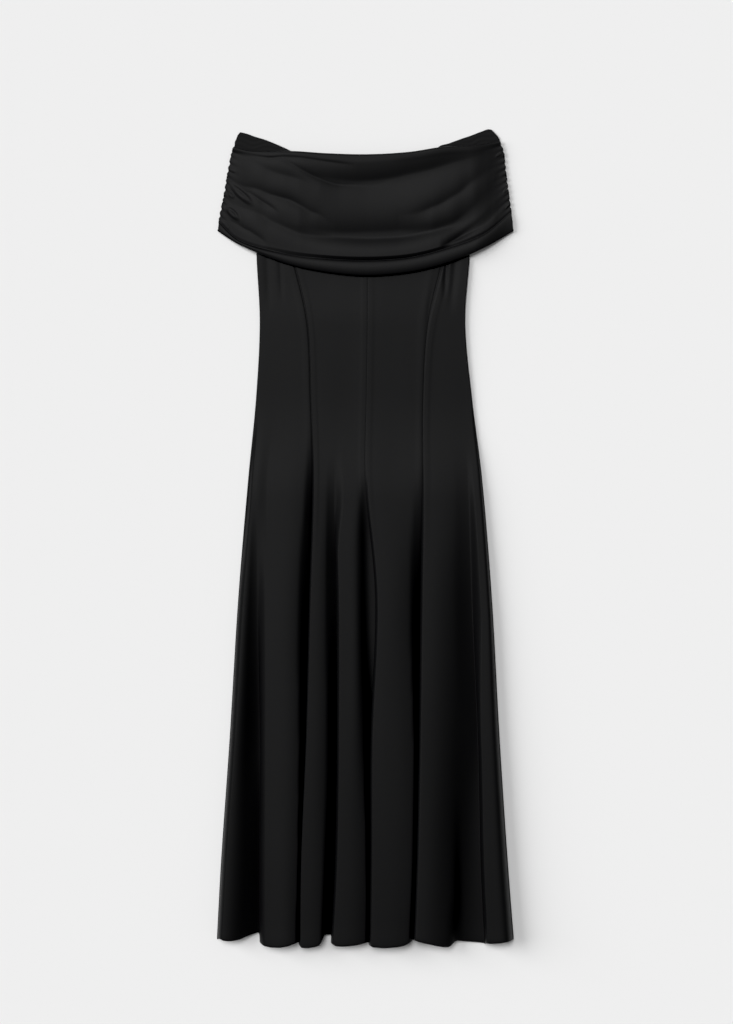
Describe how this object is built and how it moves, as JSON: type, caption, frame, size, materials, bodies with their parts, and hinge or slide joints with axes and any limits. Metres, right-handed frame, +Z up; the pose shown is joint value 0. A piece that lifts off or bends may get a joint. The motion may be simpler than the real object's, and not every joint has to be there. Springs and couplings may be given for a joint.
{
  "type": "off-the-shoulder flared dress laid flat",
  "caption": "Long flared dress with a wide draped off-the-shoulder band, laid flat on its back, with standing folds in the skirt",
  "frame": {"origin": "middle of the ground that the dress covers, on the surface that it lies on", "axes": "+X across the dress to the right seen from above, +Y along it towards the neck, +Z up through its front"},
  "size_m": [0.4442, 1.2237, 0.0297],
  "materials": {
    "black_crepe": "matt black crepe jersey with a fine close grain"
  },
  "bodies": {
    "root": {"front_side_left": "black_crepe", "front_centre_left": "black_crepe", "front_centre_right": "black_crepe", "front_side_right": "black_crepe", "back_left": "black_crepe", "back_right": "black_crepe", "band_front": "black_crepe", "band_back": "black_crepe"}
  },
  "joints": []
}
